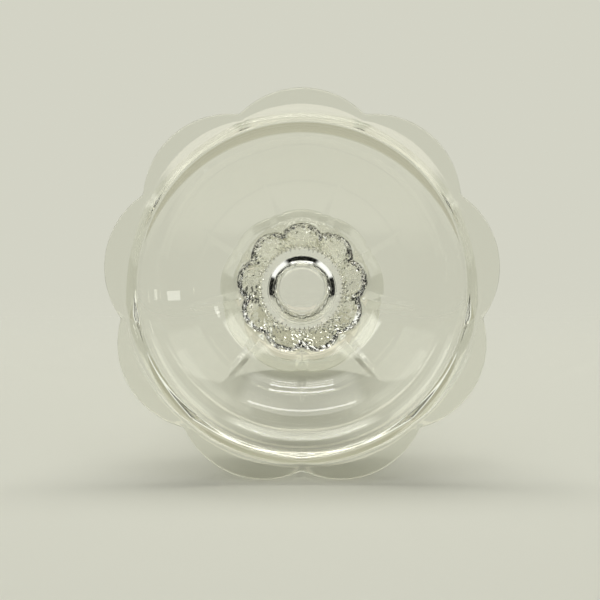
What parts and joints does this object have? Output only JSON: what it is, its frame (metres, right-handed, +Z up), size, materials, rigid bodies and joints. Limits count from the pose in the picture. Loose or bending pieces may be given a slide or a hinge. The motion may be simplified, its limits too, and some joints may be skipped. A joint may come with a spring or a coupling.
{
  "type": "candlestick",
  "caption": "Low clear glass candlestick: hollow scalloped foot with petals, lobed knop, joining wafer and a tulip cup with a tapered candle socket.",
  "frame": {"origin": "on the axis, in the plane of the flat flange that the foot stands on", "axes": "+Z up along the axis from the foot to the candle cup; a petal tip lies 5 degrees past +Y"},
  "size_m": [0.1226, 0.1226, 0.09],
  "materials": {
    "foot_crystal": "clear, fire-polished",
    "knop_crystal": "clear, cut and polished",
    "wafer_crystal": "clear, fire-polished",
    "cup_crystal": "clear, fire-polished"
  },
  "bodies": {
    "root": {"petal_foot": "foot_crystal", "lobed_knop": "knop_crystal", "joining_wafer": "wafer_crystal", "candle_cup": "cup_crystal"}
  },
  "joints": []
}
